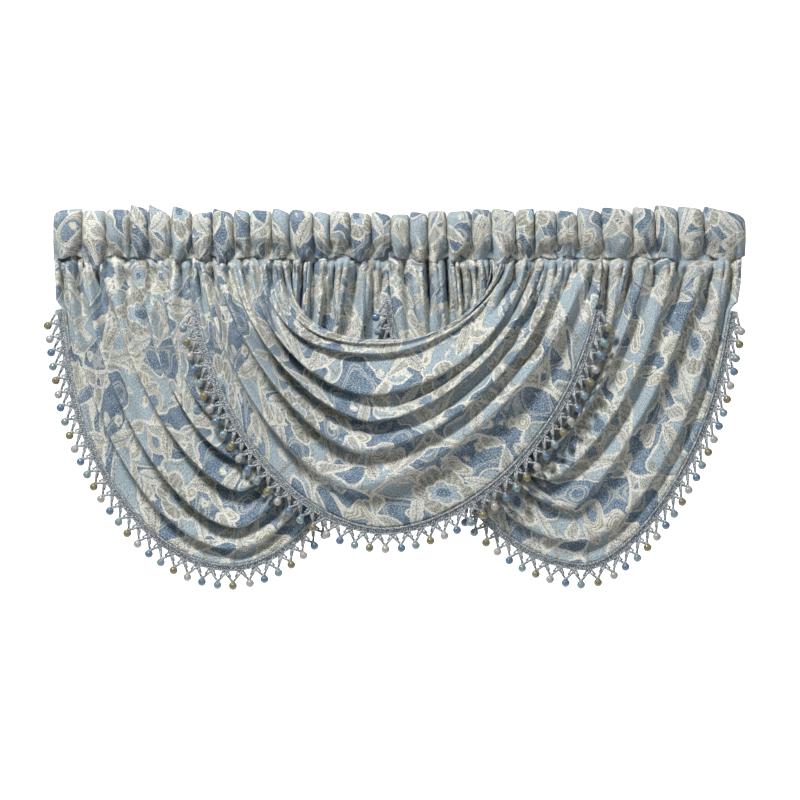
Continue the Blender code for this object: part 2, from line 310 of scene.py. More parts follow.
def cloth_place(swag, turn, level):
    """A place on a swag's cloth in millimetres: turn runs from -1 to 1 across it, and
    level from the scoop's 0 down to the hem."""
    last = len(swag.folds) - 1
    inside = math.sin(math.pi * level / last)
    wander = noise.noise(Vector((turn * 2.6, level * 0.6, swag.seed)))
    level = min(max(level + WANDER * wander * inside, 0.0), last)
    index = min(int(level), last - 1)
    share = level - index
    uneven = max(1.0 + 0.5 * noise.noise(Vector((turn * 3.5, index * 5.3, swag.seed + 20))), 0.75)
    uneven *= 0.84 + 0.26 * math.sin(math.pi * abs(turn)) ** 1.5
    upper = swag.folds[index]
    lower = swag.folds[index + 1]
    tube = 1.0 - smooth((swag_drop(upper, lower, share, turn) - 25.0) / TUBE_REACH)
    under = UNDERCUT * min(uneven, 1.15) * (1.0 - tube) * min(upper.tuck / 20.0, 1.0)
    in_plane = share - under * math.sin(2 * math.pi * share) * (1.0 - share) ** 1.3
    upper_x, upper_z = fold_place(upper, turn)
    lower_x, lower_z = fold_place(lower, turn)
    x = mix(upper_x, lower_x, in_plane)
    z = mix(upper_z, lower_z, in_plane)
    drop = SEAM_Z - z
    x += set_in(swag, turn, drop, level)
    settled = smooth(drop / SETTLE_DROP)
    side_share = mix(1.0, upper.right_share, smooth(turn * 1.4 + 0.2))
    tucked = mix(SEAM_TUCK, 1.0, smooth(drop / TUCK_DROP))
    tuck = upper.tuck * side_share * min(uneven * 1.15, 1.3) * tuck_shape(share)
    tuck = mix(tuck, TUBE_DEPTH * min(uneven * 1.1, 1.2) * tube_shape(share), tube) * tucked
    crest = mix(upper.forward, lower.forward, share)
    seam_forward = mix(3.0, swag.seam_forward, smooth((drop + 2.0) / 14.0))
    forward = mix(seam_forward, crest, settled) - tuck
    if index == 0:
        rolled = max(1.0 - share / 0.4, 0.0) ** 2 * smooth(drop / 70.0)
        forward -= ROLL_BACK * rolled
        z -= ROLL_DOWN * rolled
    forward += moved_forward(swag, turn, drop, level)
    forward -= crease_depth(swag.creases, turn, level)
    forward += FLUTTER * settled * noise.noise(Vector((x * 0.012, z * 0.012, swag.seed + 40)))
    forward += SEAM_FULLNESS * smooth((drop + 6.0) / 18.0) * (1.0 - smooth((drop - 25.0) / 120.0))
    forward += gathers(swag, turn, level, x, z, drop)
    return Vector((x, -pressed(forward), z))


def pressed(forward):
    """Keeps the backs of the gathers level with the backs of the rod pockets."""
    over = -BACK_FREE - forward
    if over <= 0.0:
        return forward
    return -BACK_FREE - BACK_PRESS * (1.0 - math.exp(-over / BACK_PRESS))


def beside_flute(x):
    """1 under the gap between two flutes of the rod pockets, 0 under a flute's middle."""
    for pocket in POCKETS:
        left = pocket.start
        for flute in pocket.flutes:
            if left <= x < left + flute.width:
                return 1.0 - flute_swell((x - left) / flute.width)
            left += flute.width
    return 1.0


def crumple(x, z):
    """The small uneven puckers that a seam draws into cloth."""
    return CRUMPLE_DEPTH * noise.noise(Vector((x * 0.075, z * 0.06, 30.0)))


def gathers(swag, turn, level, x, z, drop):
    """Narrow folds that leave the seam between the main ones and die away further down.

    They are deepest where a side swag rises behind the middle one."""
    start = smooth((drop + 4.0) / 14.0)
    behind = smooth(turn * swag.moved_half * 3.0)
    uneven = noise.noise(Vector((level * 1.1, turn * 1.5, swag.seed + 60)))
    reach = mix(105.0, 130.0, behind) + 70.0 * uneven
    tube = math.pi * (level * 2.0 + 0.9 * uneven + 0.22 * math.sin(drop / 30.0))
    long_part = (abs(math.sin(tube)) ** 0.6 - 0.7) * mix(*LONG_GATHERS, behind)
    long_part *= math.exp(-drop / reach)
    bend = 9.0 * math.sin(drop / 22.0 + x * 0.02)
    small = abs(noise.noise(Vector(((x + bend) * 0.05, z * 0.006, swag.seed + 70)))) ** 0.6
    short_part = (small - 0.40) * mix(*SHORT_GATHERS, behind) * math.exp(-drop / 60.0)
    low = math.exp(-(max(drop, 0.0) / mix(58.0, 125.0, behind)) ** 2)
    gap = FLUTE_GAP_DEPTH * beside_flute(x) * low if low > 0.02 else 0.0
    return start * (long_part + short_part - gap) + crumple(x, z) * math.exp(-max(drop, 0.0) / 32.0)


def swag_grid(swag, columns, rows_per_fold):
    last = len(swag.folds) - 1
    rows = last * rows_per_fold
    turns = [2.0 * i / columns - 1.0 for i in range(columns + 1)]
    levels = [last * j / rows for j in range(rows + 1)]
    return [[cloth_place(swag, turn, level) for turn in turns] for level in levels]


def lengths_along(row):
    """How far each place of a row is from its middle, along the row."""
    along = [0.0]
    for a, b in zip(row, row[1:]):
        along.append(along[-1] + (b - a).length)
    return [value - along[len(row) // 2] for value in along]


def cut_lengths(grid, rows_per_fold):
    """Where each place lies on the flat cut, in metres, as seen from above and from below.

    Across the cut, every row of a fold is measured on the fold's crest. Down the cut, each
    fold starts from its own depth where the swag hangs lowest, and the cloth that a gather
    hides is skipped in its crease."""
    middle = len(grid[0]) // 2
    crease = round(CREASE * rows_per_fold)
    lowest = [0.0]
    down = [[0.0] * len(grid[0])]
    for upper, lower in zip(grid, grid[1:]):
        lowest.append(lowest[-1] + (lower[middle] - upper[middle]).length)
        down.append([deep + (b - a).length for deep, a, b in zip(down[-1], upper, lower)])
    above = []
    below = []
    crest = lengths_along(grid[0])
    start = [0.0] * len(grid[0])
    for j in range(len(grid)):
        above.append([(x * MM, -(s + deep) * MM) for x, s, deep in zip(crest, start, down[j])])
        if j % rows_per_fold == crease:
            start = [lowest[j] - deep for deep in down[j]]
            crest = lengths_along(grid[min(j - crease + rows_per_fold, len(grid) - 1)])
        below.append([(x * MM, -(s + deep) * MM) for x, s, deep in zip(crest, start, down[j])])
    return above, below


def grid_mesh(name, grid, cut, cut_below=None, closed=False):
    """A sheet from a grid primitive whose vertices are moved to the places of a drape.

    A row has its place on the flat cut, and may have another one for the faces below it."""
    rows = len(grid) - 1
    columns = len(grid[0]) - 1
    bm = bmesh.new()
    bmesh.ops.create_grid(bm, x_segments=columns, y_segments=rows, size=1.0)
    uv_layer = bm.loops.layers.uv.new("cut")
    seat = {}
    for vert in bm.verts:
        i = round((vert.co.x + 1.0) / 2.0 * columns)
        j = round((1.0 - vert.co.y) / 2.0 * rows)
        seat[vert] = (j, i)
    for face in bm.faces:
        top_row = min(seat[vert][0] for vert in face.verts)
        for loop in face.loops:
            j, i = seat[loop.vert]
            from_below = cut_below and j == top_row
            loop[uv_layer].uv = (cut_below if from_below else cut)[j][i]
    for vert, (j, i) in seat.items():
        vert.co = grid[j][i] * MM
    if closed:
        bmesh.ops.remove_doubles(bm, verts=bm.verts, dist=1e-6)
    mesh = bpy.data.meshes.new(name)
    bm.to_mesh(mesh)
    bm.free()
    mesh.shade_smooth()
    return mesh


def add_piece(name, mesh, materials, slot, *nodes):
    piece = bpy.data.objects.new(name, mesh)
    for material in materials:
        mesh.materials.append(material)
    bpy.context.scene.collection.objects.link(piece)
    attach(piece, "root")
    if nodes:
        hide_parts(*nodes)
    return piece


def add_thickness(piece, offset):
    shell = piece.modifiers.new("Cloth thickness", "SOLIDIFY")
    shell.thickness = CLOTH_THICKNESS * MM
    shell.offset = offset


def make_swag(swag, columns, rows_per_fold, cloth):
    """A swag's sheet with its thickness; its trim is made apart, along the hem where the cloth is
    moved.
    """
    grid = swag_grid(swag, columns, rows_per_fold)
    cut, cut_below = cut_lengths(grid, rows_per_fold)
    mesh = grid_mesh(swag.name + "_cloth", grid, cut, cut_below)
    width = 2 * max(abs(place[0]) for row in cut for place in (row[0], row[-1]))
    length = -cut[-1][len(cut[-1]) // 2][1]
    piece = add_piece(swag.name + "_cloth", mesh, [cloth], "jacquard", swag.name)
    add_thickness(piece, 0.0)
    area = min(sum((row[-1][0] - row[0][0]) for row in cut) / len(cut) * length, width * length)


# Rod pockets

def flute_swell(share):
    """0 in the crease beside a flute, 1 on its middle, and steep at both sides."""
    return max(1.0 - abs(2.0 * share - 1.0) ** 2.1, 0.0) ** 0.62


def round_over(height, low_power):
    """A pocket's fullness: soft over the top edge, then rolling in above the seam, late and
    sharply where the power is high."""
    if height < 0.5:
        return max(1.0 - (1.0 - 2.0 * height) ** 3.4, 0.0) ** 0.5
    return max(1.0 - (2.0 * height - 1.0) ** low_power, 0.0) ** 0.5


def pocket_place(flute, share, turn, x, seed):
    """Turn runs round the pocket: 0 at the top edge, 0.5 at the seam, 1 at the top again."""
    height = 1.0 - abs(1.0 - 2.0 * turn)
    narrow = noise.noise(Vector((seed, 3.0, 9.0)))
    aside = noise.noise(Vector((seed, 7.0, 1.0)))
    loop = smooth(noise.noise(Vector((seed * 2.3, 5.0, 3.0))) * 5.0 + 0.3)
    low_power = mix(1.9, 8.0, loop)
    low = smooth((height - 0.52) / 0.44) if turn < 0.5 else 0.0
    pinched = 0.5 + (share - 0.5 - 0.4 * aside * low) * (1.0 + (1.2 + 1.6 * narrow) * low)
    swell = flute_swell(min(max(pinched, 0.0), 1.0))
    top = flute.top + TOP_RISE - TOP_DIP * (1.0 - swell) ** 1.8 + flute.slope * 1.5 * (share - 0.5)
    bottom = SEAM_Z + EDGE_RISE + EDGE_WAVE * noise.noise(Vector((x * 0.022, 1.0, 6.0)))
    sag = loop * (LOOP_SAG + LOOP_SPREAD * noise.noise(Vector((seed * 3.1, 0.4, 2.0))))
    hang = smooth((height - 0.45) / 0.45) * smooth((1.0 - height) / 0.05) * swell
    z = mix(top, bottom, height) - (sag * hang if turn < 0.5 else 0.0)
    lean = flute.lean * (1.0 - height) ** 1.5 * math.sin(math.pi * share)
    if turn > 0.5:
        depth = (PINCH_DEPTH + BACK_SWELL * swell) * round_over(height, 9.0)
        return Vector((x + lean, max(depth, SEAM_BACK * smooth((height - 0.5) * 2.0)), z))
    depth = PINCH_DEPTH * (1.0 - 0.6 * low) + FRONT_SWELL * swell
    depth *= round_over(height, low_power)
    groove = math.exp(-((share - flute.crease - 0.15 * (height - 0.5)) / 0.07) ** 2)
    depth -= mix(*GROOVES, low) * groove * smooth(height * 3.0 - 0.4) * swell
    depth += 3.0 * swell * noise.noise(Vector((x * 0.03, z * 0.035, seed))) + low * crumple(x, z)
    depth = min(depth, PINCH_DEPTH + FRONT_SWELL)
    return Vector((x + lean, -max(depth, SEAM_FRONT * smooth((height - 0.5) * 2.0)), z))


def make_pocket(pocket, cloth):
    columns = []
    cut_columns = []
    x = pocket.start - POCKET_LAP / 2
    total = sum(flute.width for flute in pocket.flutes)
    fit = (total + POCKET_LAP) / total
    cut_along = pocket.start * PATTERN_FULLNESS
    for number, flute in enumerate(pocket.flutes):
        seed = pocket.start * 0.01 + number * 2.3
        last = number == len(pocket.flutes) - 1
        for step in range(STEPS_PER_FLUTE + (1 if last else 0)):
            share = step / STEPS_PER_FLUTE
            share -= STEEP_SIDES * math.sin(2 * math.pi * share)
            place = x + flute.width * fit * (share - STEEP_SIDES * math.sin(2 * math.pi * share))
            column = [pocket_place(flute, share, j / STEPS_ROUND_POCKET, place, seed)
                      for j in range(STEPS_ROUND_POCKET + 1)]
            column[-1] = column[0].copy()
            columns.append(column)
            cut_columns.append(cut_along + flute.width * PATTERN_FULLNESS * share)
        x += flute.width * fit
        cut_along += flute.width * PATTERN_FULLNESS
    grid = [list(row) for row in zip(*columns)]
    round_length = ROUND_SHARE * -SEAM_Z
    cut = [[(along * MM, -j / STEPS_ROUND_POCKET * round_length * MM) for along in cut_columns]
           for j in range(STEPS_ROUND_POCKET + 1)]
    name = pocket.name + "_cloth"
    piece = add_piece(name, grid_mesh(name, grid, cut, closed=True), [cloth], "jacquard", pocket.name)
    add_thickness(piece, -1.0)


# Fringe

def hem_places(swag, left_start, right_start):
    hem = len(swag.folds) - 1
    places = []
    for i in range(STEPS_ALONG_HEM + 1):
        turn = 2.0 * i / STEPS_ALONG_HEM - 1.0
        place = cloth_place(swag, turn, hem)
        if SEAM_Z - place.z >= (left_start if turn < 0 else right_start):
            places.append(place)
    return places


def even_places(places, count):
    lengths = [0.0]
    for a, b in zip(places, places[1:]):
        lengths.append(lengths[-1] + (b - a).length)
    result = []
    at = 0
    for i in range(count + 1):
        goal = lengths[-1] * i / count
        while at < len(lengths) - 2 and lengths[at + 1] < goal:
            at += 1
        share = (goal - lengths[at]) / (lengths[at + 1] - lengths[at])
        result.append(places[at].lerp(places[at + 1], share))
    return result


def line_length(places):
    return sum((b - a).length for a, b in zip(places, places[1:]))


def way_along(places, index):
    before = places[max(index - 1, 0)]
    after = places[min(index + 1, len(places) - 1)]
    return (after - before).normalized()


def outwards(line, index):
    """The way away from the cloth, square to a hem."""
    along = way_along(line, index)
    return Vector((along.z, 0.0, -along.x)).normalized()


def band_mesh(name, line, section):
    """A section of (outward, forward) places swept along a hem."""
    count = len(section)
    grid = []
    for j in range(count + 1):
        out, forward = section[j % count]
        row = []
        for index, place in enumerate(line):
            row.append(place + outwards(line, index) * out + Vector((0.0, -forward, 0.0)))
        grid.append(row)
    step = line_length(line) / (len(line) - 1)
    cut = [[(index * step * MM, j / count) for index in range(len(line))]
           for j in range(count + 1)]
    mesh = grid_mesh(name, grid, cut, closed=True)
    bm = bmesh.new()
    bm.from_mesh(mesh)
    bmesh.ops.holes_fill(bm, edges=bm.edges, sides=count)
    bmesh.ops.recalc_face_normals(bm, faces=bm.faces)
    bm.to_mesh(mesh)
    bm.free()
    mesh.shade_smooth()
    return mesh


def oval_section(centre_out, centre_forward, half_out, half_forward, count):
    """A round or oval section, listed so that the sweep faces outwards."""
    places = []
    for i in range(count):
        angle = 2 * math.pi * i / count
        places.append((centre_out - half_out * math.cos(angle),
                       centre_forward + half_forward * math.sin(angle)))
    return places


def between(bm, start, end, radius, sides=6):
    """A straight thread between two places."""
    span = end - start
    turn = span.to_track_quat("Z", "Y").to_matrix().to_4x4()
    bmesh.ops.create_cone(
        bm, cap_ends=True, segments=sides, radius1=radius * MM, radius2=radius * MM,
        depth=span.length * MM, matrix=Matrix.Translation((start + end) / 2 * MM) @ turn)


CORD_FORWARD = 1.9
CORD_SIDES = 8

# The braid's section: places across it, from -1 to 1, and forward in millimetres
BRAID_SECTION = [(-1.0, 0.0), (-0.92, 1.6), (-0.5, 2.2), (0.0, 1.7), (0.5, 2.2), (0.92, 1.6),
                 (1.0, 0.0), (0.88, -1.2), (0.0, -1.4), (-0.88, -1.2)]


def trim_line(fringe):
    """The hem's places from one end of a fringe to the other, evenly apart, and its beads."""
    hem = hem_places(SWAGS[fringe.swag], fringe.left_start, fringe.right_start)
    beads = round(line_length(hem) / BEAD_PITCH)
    return even_places(hem, beads * PLACES_PER_BEAD), beads


def make_braid(fringe, line, braid_material, cord_material):
    name = "braid_" + fringe.side
    half = TRIM_WIDTH / 2
    section = [(TRIM_GAP + half * (1.0 + across), forward) for across, forward in BRAID_SECTION]
    pieces = [add_piece(name, band_mesh(name, line, section), [braid_material], "fringe",
                        "fringe_" + fringe.side)]
    for label, out, radius in CORDS:
        name = "gimp_cord_" + label + "_" + fringe.side
        section = oval_section(out, CORD_FORWARD, radius, radius, CORD_SIDES)
        pieces.append(add_piece(name, band_mesh(name, line, section), [cord_material], "fringe"))
    return pieces


def add_threads(threads, line, index, hang, top):
    """Two long threads from the braid down to a bead, and a short one across each."""
    along = way_along(line, index)
    edge = TRIM_GAP + TRIM_WIDTH
    root = line[index] + outwards(line, index) * edge
    for side in (-1, 1):
        foot_index = min(max(index + side * FOOT_PLACES, 0), len(line) - 1)
        foot_out = outwards(line, foot_index) * (edge - 1.0)
        foot = line[foot_index] + foot_out + Vector((0.0, -0.7 * side, 0.0))
        between(threads, foot, top, THREAD_RADIUS)
        brace = line[min(max(index + side * BRACE_PLACES, 0), len(line) - 1)] + foot_out
        crossing = root + hang * BRACE_DROP + along * side * BRACE_ASIDE
        between(threads, brace, crossing, THREAD_RADIUS * 0.8)
    bmesh.ops.create_uvsphere(threads, u_segments=8, v_segments=5, radius=THREAD_RADIUS * 1.9 * MM,
                              matrix=Matrix.Translation(top * MM))


def add_ball(balls, centre, hang, kind):
    """One wound bead with its poles along its thread, in one of the four yarns."""
    spin = hang.to_track_quat("Z", "Y").to_matrix().to_4x4()
    before = len(balls.faces)
    bmesh.ops.create_uvsphere(balls, u_segments=18, v_segments=12, radius=BEAD_RADIUS * MM,
                              matrix=Matrix.Translation(centre * MM) @ spin, calc_uvs=True)
    balls.faces.ensure_lookup_table()
    for face in balls.faces[before:]:
        face.material_index = kind
        face.smooth = True


def make_fringe(fringe, braid_material, cord_material, thread_material, bead_materials):
    line, beads = trim_line(fringe)
    seed = SWAGS[fringe.swag].seed
    pieces = make_braid(fringe, line, braid_material, cord_material)
    threads = bmesh.new()
    balls = bmesh.new()
    for number in range(beads):
        index = number * PLACES_PER_BEAD + PLACES_PER_BEAD // 2
        out_way = outwards(line, index)
        sway = 0.10 * noise.noise(Vector((number * 0.9, seed, 0.0)))
        spread = fringe.spreads[0 if number < beads / 2 else 1]
        hang = out_way * spread + Vector((0.0, 0.0, spread - 1.0)) + way_along(line, index) * sway
        hang.normalize()
        root = line[index] + out_way * (TRIM_GAP + TRIM_WIDTH)
        reach = BEAD_REACH + 1.5 * noise.noise(Vector((number * 1.7, seed, 4.0)))
        add_threads(threads, line, index, hang, root + hang * (reach - BEAD_RADIUS * 0.9))
        centre = root + hang * reach + Vector((0.0, -0.6, 0.0))
        add_ball(balls, centre, hang, (number + fringe.first_colour) % len(bead_materials))
    for label, bm, materials in (("threads", threads, [thread_material]),
                                 ("beads", balls, bead_materials)):
        mesh = bpy.data.meshes.new(label + "_" + fringe.side)
        bm.to_mesh(mesh)
        bm.free()
        mesh.shade_smooth()
        pieces.append(add_piece(mesh.name, mesh, materials, "fringe"))
    return pieces


# Materials

class Val:
    """A shader socket that adds Math nodes where Python expressions use it."""

    def __init__(self, graph, socket):
        self.graph = graph
        self.socket = socket

    def math(self, operation, *others):
        settings = {"operation": operation}
        values = dict(enumerate((self,) + others))
        return self.graph.add("ShaderNodeMath", settings, values)

    def __add__(self, other):
        return self.math("ADD", other)

    __radd__ = __add__

    def __sub__(self, other):
        return self.math("SUBTRACT", other)

    def __rsub__(self, other):
        return self.graph.add("ShaderNodeMath", {"operation": "SUBTRACT"}, {0: other, 1: self})

    def __mul__(self, other):
        return self.math("MULTIPLY", other)

    __rmul__ = __mul__

    def __truediv__(self, other):
        return self.math("DIVIDE", other)

    def __rtruediv__(self, other):
        return self.graph.add("ShaderNodeMath", {"operation": "DIVIDE"}, {0: other, 1: self})


class Graph:
    """One material's nodes."""

    def __init__(self, name):
        self.material = bpy.data.materials.new(name)
        self.material.use_nodes = True
        self.nodes = self.material.node_tree.nodes
        self.links = self.material.node_tree.links
        self.shader = self.nodes["Principled BSDF"]

    def add(self, kind, settings=None, values=None, output=0):
        """Adds a node. Settings come first, then the values or links of its sockets."""
        node = self.nodes.new(kind)
        for key, value in (settings or {}).items():
            setattr(node, key, value)
        for key, value in (values or {}).items():
            self.set(node.inputs[key], value)
        return Val(self, node.outputs[output])

    def set(self, socket, value):
        if isinstance(value, Val):
            self.links.new(value.socket, socket)
        else:
            socket.default_value = value

    def step(self, value, low, high):
        """0 below low, 1 above high, and soft between; low may be above high."""
        return self.add("ShaderNodeMapRange", {"interpolation_type": "SMOOTHSTEP"},
                        {"Value": value, "From Min": low, "From Max": high})

    def colour_mix(self, share, a, b):
        return self.add("ShaderNodeMix", {"data_type": "RGBA"}, {0: share, 6: a, 7: b}, output=2)

    def noise(self, vector, scale, detail=2.0, roughness=0.5):
        return self.add("ShaderNodeTexNoise", {}, {
            "Vector": vector, "Scale": scale, "Detail": detail, "Roughness": roughness})

    def bump(self, height, strength, distance):
        return self.add("ShaderNodeBump", {}, {
            "Height": height, "Strength": strength, "Distance": distance})


DENIM = srgb(86, 112, 137)
DENIM_LIGHT = srgb(113, 136, 156)
DUCK_EGG = srgb(159, 177, 187)
CREAM = srgb(222, 220, 209)
SILVER = srgb(186, 190, 187)
TAUPE = srgb(148, 147, 134)
FLECK = srgb(228, 230, 222)


class Repeat:
    """One repeat of the jacquard: places in millimetres from the middle of its flower."""

    def __init__(self, graph):
        self.graph = graph
        self.cut = graph.add("ShaderNodeUVMap", {"uv_map": "cut"})
        u, v = self.parts(self.cut)
        drift = self.parts(self.noise_colour(10.0, 1.0))
        ragged = self.parts(self.noise_colour(280.0, 0.0))
        u = u * 1000.0 + (drift[0] - 0.5) * DRIFT + (ragged[0] - 0.5) * RAGGED
        v = v * 1000.0 + (drift[1] - 0.5) * DRIFT + (ragged[1] - 0.5) * RAGGED
        odd = ((u / REPEAT_WIDTH).math("FLOOR") / 2.0).math("FRACT") * 2.0
        self.x = ((u / REPEAT_WIDTH).math("FRACT") - 0.5) * REPEAT_WIDTH
        self.y = ((v / REPEAT_HEIGHT + odd * 0.5).math("FRACT") - 0.5) * REPEAT_HEIGHT
        self.side = self.x.math("ABSOLUTE")

    def noise_colour(self, scale, detail):
        return self.graph.add("ShaderNodeTexNoise", {}, {
            "Vector": self.cut, "Scale": scale, "Detail": detail}, output=1)

    def parts(self, value):
        split = self.graph.nodes.new("ShaderNodeSeparateXYZ")
        self.graph.links.new(value.socket, split.inputs[0])
        return Val(self.graph, split.outputs[0]), Val(self.graph, split.outputs[1])


def lines(graph, place, pitch):
    """1 on the lines and 0 between them, at an even pitch along a place."""
    away = ((place / pitch).math("FRACT") - 0.5).math("ABSOLUTE")
    return graph.step(away, 0.33, 0.17)


def distance(x, y):
    return (x * x + y * y).math("SQRT")


def grounds(graph, repeat):
    """Denim and duck-egg grounds with cream outlines between them."""
    patch = graph.noise(repeat.cut, 9.0, 1.6, 0.40)
    cloudy = graph.step(graph.noise(repeat.cut, 34.0, 1.0), 0.40, 0.64)
    denim = graph.colour_mix(cloudy, DENIM, DENIM_LIGHT)
    colour = graph.colour_mix(graph.step(patch, 0.485, 0.505), denim, DUCK_EGG)
    rim = graph.step((patch - 0.50).math("ABSOLUTE"), 0.012, 0.005)
    colour = graph.colour_mix(rim, colour, CREAM)
    return graph.colour_mix(graph.step((patch - 0.530).math("ABSOLUTE"), 0.008, 0.004), colour, TAUPE)


def marbled(graph, repeat, colour):
    """Paisley areas filled with fine lines that run round them."""
    field = graph.noise(repeat.cut, 10.5, 1.0, 0.4)
    area = graph.step(field, 0.608, 0.621)
    rows = (field * 44.0).math("FRACT")
    fine = graph.step((rows - 0.5).math("ABSOLUTE"), 0.12, 0.36)
    fill = graph.colour_mix(fine * 0.75 + 0.15, TAUPE, CREAM)
    colour = graph.colour_mix(area, colour, fill)
    heart = graph.step(field, 0.675, 0.69)
    colour = graph.colour_mix(heart, colour, DENIM_LIGHT)
    rim = graph.step((field - 0.609).math("ABSOLUTE"), 0.013, 0.005)
    colour = graph.colour_mix(rim, colour, CREAM)
    beside = graph.noise(repeat.cut, 9.0, 1.0, 0.4)
    strip = graph.step((beside - 0.395).math("ABSOLUTE"), 0.030, 0.022)
    lined = graph.step(((beside * 38.0).math("FRACT") - 0.5).math("ABSOLUTE"), 0.34, 0.14)
    return graph.colour_mix(strip * (lined * 0.7 + 0.1), colour, SILVER)


def vine(graph, repeat, colour):
    """A cream vine on an ogee, with lobes of scrolling leaf along its inner side."""
    turn = repeat.y * (2 * math.pi / REPEAT_HEIGHT)
    swing = REPEAT_WIDTH / 4
    slope = turn.math("SINE") * (swing * 2 * math.pi / REPEAT_HEIGHT)
    off = (repeat.side - (turn.math("COSINE") + 1.0) * swing) / distance(slope, 1.0)
    lobes = (repeat.y * (math.pi / 48.0)).math("SINE").math("ABSOLUTE") * 22.0
    inside = graph.step(off + lobes, -1.0, 0.5) * graph.step(off, 1.0, -1.0)
    ribs = lines(graph, repeat.y * 0.8 + off * 1.3, 8.0)
    colour = graph.colour_mix(inside, colour, graph.colour_mix(ribs * 0.8, SILVER, TAUPE))
    rim = graph.step((off + lobes).math("ABSOLUTE"), 3.8, 2.4) * graph.step(off, 3.0, 1.0)
    colour = graph.colour_mix(rim, colour, CREAM)
    stem = graph.step((off - 4.0).math("ABSOLUTE"), 4.0, 2.8)
    return graph.colour_mix(stem, colour, CREAM)


def blossoms(graph, repeat, colour):
    """Small cream blossoms with a taupe heart, strewn over the grounds."""
    cells = graph.add("ShaderNodeTexVoronoi", {"feature": "F1"},
                      {"Vector": repeat.cut, "Scale": 27.0, "Randomness": 0.9})
    ragged = graph.noise(repeat.cut, 90.0, 1.0)
    reach = cells + (ragged - 0.5) * 0.35
    some = graph.step(graph.noise(repeat.cut, 17.0, 0.0), 0.52, 0.55)
    colour = graph.colour_mix(graph.step(reach, 0.34, 0.24) * some, colour, CREAM)
    return graph.colour_mix(graph.step(reach, 0.13, 0.09) * some * 0.7, colour, TAUPE)


def leaves(graph, repeat, colour):
    """Feathered leaves: fine ribs on both sides of a vein, with a lighter rim."""
    for middle_x, middle_y, angle, half_x, half_y, fill in (
            (60.0, 74.0, -0.8, 15.0, 38.0, TAUPE), (72.0, -28.0, 0.6, 14.0, 36.0, SILVER),
            (30.0, -104.0, -0.5, 13.0, 34.0, TAUPE), (124.0, 132.0, -0.3, 15.0, 40.0, TAUPE)):
        x = repeat.side - middle_x
        y = repeat.y - middle_y
        across = x * math.cos(angle) + y * math.sin(angle)
        along = y * math.cos(angle) - x * math.sin(angle)
        reach = distance(across / half_x, along / half_y)
        leaf = graph.step(reach, 1.0, 0.90)
        ribs = lines(graph, along + across.math("ABSOLUTE") * 1.2, 6.0)
        colour = graph.colour_mix(leaf, colour, graph.colour_mix(ribs, fill, CREAM))
        colour = graph.colour_mix(leaf * graph.step(reach, 0.76, 0.84), colour, CREAM)
        vein = leaf * graph.step(across.math("ABSOLUTE"), 2.0, 1.0)
        colour = graph.colour_mix(vein * 0.7, colour, DENIM_LIGHT)
    return colour


def flower(graph, repeat, colour):
    """A petalled flower in the middle of each repeat, streaked from heart to rim."""
    down = repeat.y + 6.0
    reach = distance(repeat.side, down * 0.9)
    angle = repeat.side.math("ARCTAN2", down)
    petal = (angle * 3.0).math("COSINE").math("ABSOLUTE").math("POWER", 0.6) * 16.0
    edge = reach - petal
    shape = graph.step(edge, 42.0, 40.0)
    streaks = graph.step((angle * 20.0 + reach / 8.0).math("SINE"), -0.2, 0.6)
    fill = graph.colour_mix(streaks * 0.8, TAUPE, SILVER)
    colour = graph.colour_mix(shape, colour, fill)
    colour = graph.colour_mix(shape * graph.step(edge, 35.0, 37.0), colour, CREAM)
    inner = reach - (angle * 3.0 + math.pi / 2).math("COSINE").math("ABSOLUTE") * 8.0
    colour = graph.colour_mix(graph.step(inner, 22.0, 20.0), colour, DUCK_EGG)
    ring = graph.step((inner - 20.0).math("ABSOLUTE"), 3.0, 2.0)
    colour = graph.colour_mix(ring, colour, CREAM)
    return graph.colour_mix(graph.step(reach, 12.0, 10.0), colour, DENIM)


def jacquard():
    """A traditional damask of our own drawing, woven in speckled chenille."""
    graph = Graph("jacquard")
    repeat = Repeat(graph)
    colour = grounds(graph, repeat)
    for motif in (marbled, vine, blossoms, leaves, flower):
        colour = motif(graph, repeat, colour)

    thread_places = graph.add("ShaderNodeMapping", {}, {
        "Vector": repeat.cut, "Scale": (1.0, 1.5, 1.0)})
    coarse = graph.noise(thread_places, 270.0, 2.0, 0.8)
    fine = graph.noise(thread_places, 560.0, 1.0, 0.6)
    blotch = graph.noise(repeat.cut, 55.0, 2.0)
    light_fleck = graph.step(coarse, 0.52, 0.64)
    dark_fleck = graph.step(coarse, 0.49, 0.36)
    colour = graph.colour_mix(light_fleck * 0.55, colour, FLECK)
    shade = 1.10 - dark_fleck * 0.72 + (fine - 0.5) * 0.7 + (blotch - 0.5) * 0.30
    colour = graph.add("ShaderNodeVectorMath", {"operation": "SCALE"}, {0: colour, "Scale": shade})
    graph.set(graph.shader.inputs["Base Color"], colour)
    graph.set(graph.shader.inputs["Roughness"], (fine - 0.5) * 0.2 + 0.84)
    graph.set(graph.shader.inputs["Normal"], graph.bump(coarse * 1.4 + fine, 0.8, 0.0016))
    graph.shader.inputs["Sheen Weight"].default_value = 0.12
    graph.shader.inputs["Sheen Roughness"].default_value = 0.5
    return graph.material


